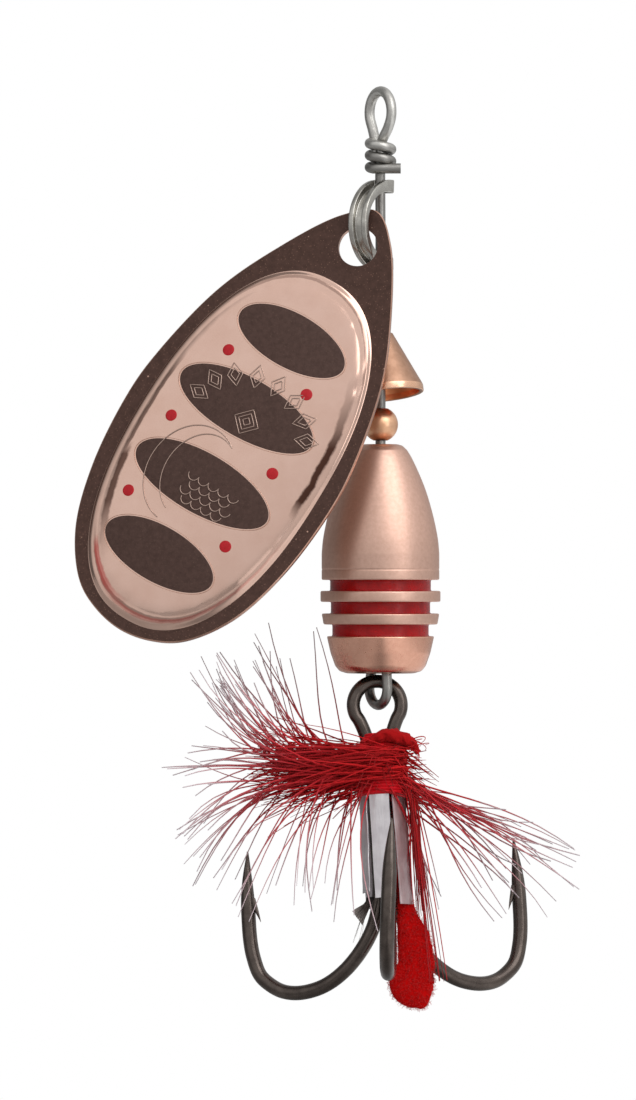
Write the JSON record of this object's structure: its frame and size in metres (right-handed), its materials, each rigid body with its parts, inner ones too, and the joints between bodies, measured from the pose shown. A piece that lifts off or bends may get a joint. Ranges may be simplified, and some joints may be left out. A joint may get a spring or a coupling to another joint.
{
  "type": "inline spinner lure",
  "caption": "Inline spinner: an oval copper blade on a clevis spins round a wire that also carries a cone, a bead, a grooved body and a feather-dressed treble hook.",
  "frame": {"origin": "centre of the line-tie eye at the top of the wire", "axes": "+Z along the wire towards the line, +X to the right and -Y towards the front, where the blade hangs"},
  "size_m": [0.0342, 0.0279, 0.0631],
  "materials": {
    "wire": "bright drawn stainless wire",
    "clevis": "bright rolled strip",
    "blade_copper": "copper plate, mirror-polished middle with a dark oxidised rim and bars and small red dots",
    "cone_copper": "satin copper plate",
    "bead_copper": "polished copper",
    "body_copper": "turned, satin copper plate with glossy red paint in the grooves",
    "hook_bronze": "smooth bronzed hook wire",
    "thread_red": "waxed red tying thread",
    "hackle": "feather barbs, red at the root, smoky at the tip",
    "tinsel": "pearly silver film",
    "tag": "dark crimped film end",
    "tail_red": "felted red yarn"
  },
  "bodies": {
    "wire": {"wire_shaft": "wire"},
    "clevis": {"clevis": "clevis"},
    "blade": {"blade": "blade_copper"},
    "cone": {"sound_cone": "cone_copper"},
    "bead": {"bearing_bead": "bead_copper"},
    "body": {"body": "body_copper"},
    "treble": {"double_hook": "hook_bronze", "single_hook": "hook_bronze", "thread_wrap": "thread_red", "hackle_turn_1": "hackle", "hackle_turn_2": "hackle", "hackle_turn_3": "hackle", "hackle_turn_4": "hackle", "hackle_turn_5": "hackle", "tinsel_1": "tinsel", "tinsel_2": "tinsel", "tinsel_3": "tinsel", "tinsel_4": "tinsel", "tinsel_5": "tinsel", "tinsel_6": "tinsel", "tinsel_tag": "tag", "tail_yarn": "tail_red"}
  },
  "joints": [
    {"name": "clevis_spin", "type": "hinge", "parent": "wire", "child": "clevis", "pos_m": [0, 0, -0.00765], "axis": [0, 0, 1], "continuous": true},
    {"name": "blade_swing", "type": "hinge", "parent": "clevis", "child": "blade", "pos_m": [-0.00103, -0.00194, -0.0084], "axis": [-0.8829, 0.4695, 0], "range_deg": [0, 70]},
    {"name": "cone_spin", "type": "hinge", "parent": "wire", "child": "cone", "pos_m": [0, 0, -0.017], "axis": [0, 0, 1], "continuous": true},
    {"name": "bead_spin", "type": "hinge", "parent": "wire", "child": "bead", "pos_m": [0, 0, -0.0213], "axis": [0, 0, 1], "continuous": true},
    {"name": "body_spin", "type": "hinge", "parent": "wire", "child": "body", "pos_m": [0, 0, -0.03], "axis": [0, 0, 1], "continuous": true},
    {"name": "hook_swing", "type": "hinge", "parent": "wire", "child": "treble", "pos_m": [-0.00022, 0.00005, -0.04052], "axis": [0, 1, 0], "range_deg": [-50, 50]}
  ]
}
